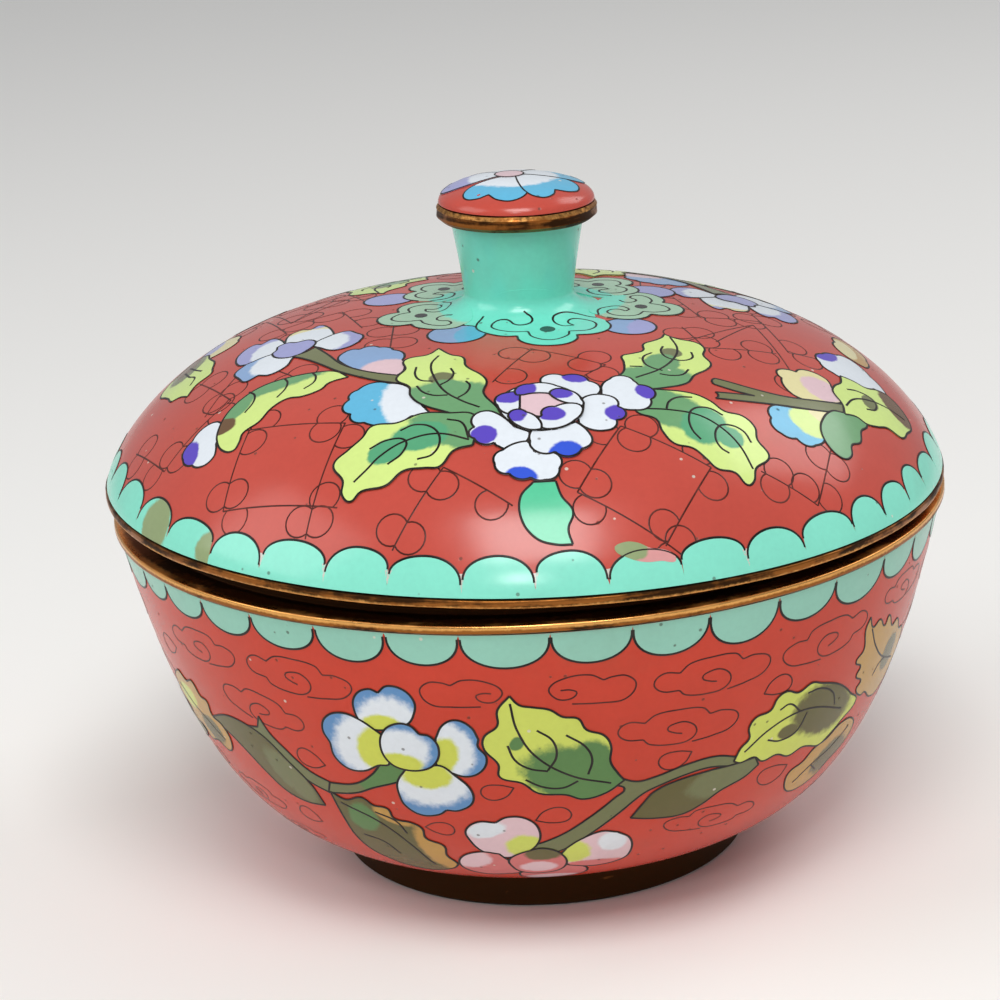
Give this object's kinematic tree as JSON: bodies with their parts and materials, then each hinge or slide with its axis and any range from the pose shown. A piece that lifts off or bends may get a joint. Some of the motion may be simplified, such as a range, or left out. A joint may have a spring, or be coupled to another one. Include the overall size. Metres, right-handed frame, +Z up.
{
  "type": "cloisonne lidded bowl",
  "caption": "Round footed bowl in cloisonne enamel with a loose domed lid and a capped knob, flowers and leaves on a brick red ground.",
  "frame": {"origin": "on the surface the bowl stands on, under the middle of the bowl", "axes": "+Z up along the axis of the bowl; -Y towards the viewer, so the side seen faces -Y; +X to the viewer's right"},
  "size_m": [0.1603, 0.1602, 0.1311],
  "materials": {
    "dark_brass": "dark patinated turned brass",
    "bowl_enamel": "glossy cloisonne enamel on copper, brick red ground with wired flowers, clouds and turquoise scallops, turquoise inside",
    "bowl_brass": "brown patinated brass, worn bright along its edge",
    "lid_brass": "brown patinated brass, worn bright along its edge",
    "lid_enamel": "glossy cloisonne enamel on copper, brick red wired lattice ground with flowers and leaves, turquoise scallops, collar and neck",
    "knob_brass": "dull gilt brass with dark patina",
    "cap_enamel": "glossy cloisonne enamel on copper, one flower on brick red"
  },
  "bodies": {
    "root": {"foot_ring": "dark_brass", "bowl_body": "bowl_enamel", "bowl_rim": "bowl_brass", "lid_rim": "lid_brass", "lid_body": "lid_enamel", "knob_band": "knob_brass", "knob_cap": "cap_enamel"}
  },
  "joints": []
}
